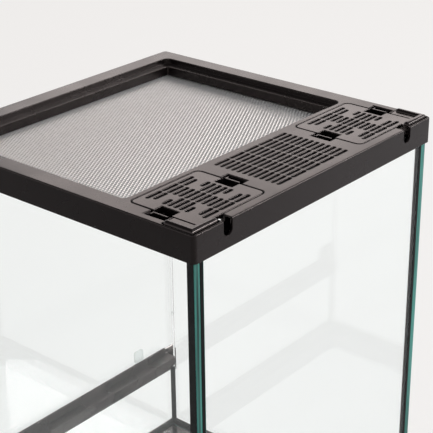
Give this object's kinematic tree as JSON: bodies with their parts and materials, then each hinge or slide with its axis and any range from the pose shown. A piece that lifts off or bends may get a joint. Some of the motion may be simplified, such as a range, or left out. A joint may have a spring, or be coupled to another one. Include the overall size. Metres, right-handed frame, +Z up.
{
  "type": "reptile terrarium",
  "caption": "Glass reptile terrarium with moulded base and top frames, a screened top, slotted vent lids with cable notches, and a hinged glass front door.",
  "frame": {"origin": "on the ground, in the middle of the whole footprint from the catch's knob to the back of the frames", "axes": "+Z up, +X right as seen from the front, -Y towards the front door"},
  "size_m": [0.3, 0.3116, 0.4523],
  "materials": {
    "black_abs": "satin injection-moulded ABS with a fine spark texture",
    "lid_abs": "satin injection-moulded ABS",
    "glass": "float glass, ground edges with a green cast",
    "silicone": "black silicone, tooled smooth",
    "foot_rubber": "moulded rubber",
    "steel": "plain turned and zinc-plated steel",
    "nylon": "natural nylon",
    "clear_bumper": "clear polyurethane",
    "screen_steel": "expanded steel mesh, zinc-plated",
    "black_gauze": "woven black gauze"
  },
  "bodies": {
    "enclosure": {"base_frame": "black_abs", "feet": "foot_rubber", "floor_glass": "glass", "left_glass": "glass", "right_glass": "glass", "back_glass": "glass", "dam_glass": "glass", "floor_silicone": "silicone", "left_rear_silicone": "silicone", "right_rear_silicone": "silicone", "front_silicone": "silicone", "vent_rail": "black_abs", "hinge_bushes": "nylon", "door_bumpers": "clear_bumper", "top_frame": "black_abs", "left_lid_seat": "black_abs", "right_lid_seat": "black_abs", "screen_upper_strands": "screen_steel", "screen_lower_strands": "screen_steel", "screen_retainer": "black_abs", "retainer_screws": "steel", "grille_gauze": "black_gauze"},
    "door": {"door_glass": "glass", "upper_hinge_shoe": "black_abs", "lower_hinge_shoe": "black_abs", "hinge_pins": "steel", "hinge_screws": "steel", "door_strike": "clear_bumper"},
    "catch": {"catch_knob": "black_abs", "catch_screw": "steel"},
    "left_vent_lid": {"left_lid": "lid_abs", "left_lid_gauze": "black_gauze"},
    "right_vent_lid": {"right_lid": "lid_abs", "right_lid_gauze": "black_gauze"},
    "left_outer_tab": {"left_outer_latch": "lid_abs"},
    "left_inner_tab": {"left_inner_latch": "lid_abs"},
    "right_inner_tab": {"right_inner_latch": "lid_abs"},
    "right_outer_tab": {"right_outer_latch": "lid_abs"}
  },
  "joints": [
    {"name": "door_hinge", "type": "hinge", "parent": "enclosure", "child": "door", "pos_m": [0.1435, -0.1392, 0.2755], "axis": [0, 0, 1], "range_deg": [0, 110]},
    {"name": "catch_turn", "type": "hinge", "parent": "enclosure", "child": "catch", "pos_m": [-0.095, -0.1442, 0.111], "axis": [0, -1, 0], "range_deg": [0, 90]},
    {"name": "left_lid_lift", "type": "slide", "parent": "enclosure", "child": "left_vent_lid", "axis": [0, 0, 1], "range_m": [0, 0.03]},
    {"name": "right_lid_lift", "type": "slide", "parent": "enclosure", "child": "right_vent_lid", "axis": [0, 0, 1], "range_m": [0, 0.03]},
    {"name": "left_outer_tab_press", "type": "slide", "parent": "left_vent_lid", "child": "left_outer_tab", "axis": [1, 0, 0], "range_m": [0, 0.0025], "stiffness_N_per_m": 400},
    {"name": "left_inner_tab_press", "type": "slide", "parent": "left_vent_lid", "child": "left_inner_tab", "axis": [-1, 0, 0], "range_m": [0, 0.0025], "stiffness_N_per_m": 400},
    {"name": "right_inner_tab_press", "type": "slide", "parent": "right_vent_lid", "child": "right_inner_tab", "axis": [1, 0, 0], "range_m": [0, 0.0025], "stiffness_N_per_m": 400},
    {"name": "right_outer_tab_press", "type": "slide", "parent": "right_vent_lid", "child": "right_outer_tab", "axis": [-1, 0, 0], "range_m": [0, 0.0025], "stiffness_N_per_m": 400}
  ]
}
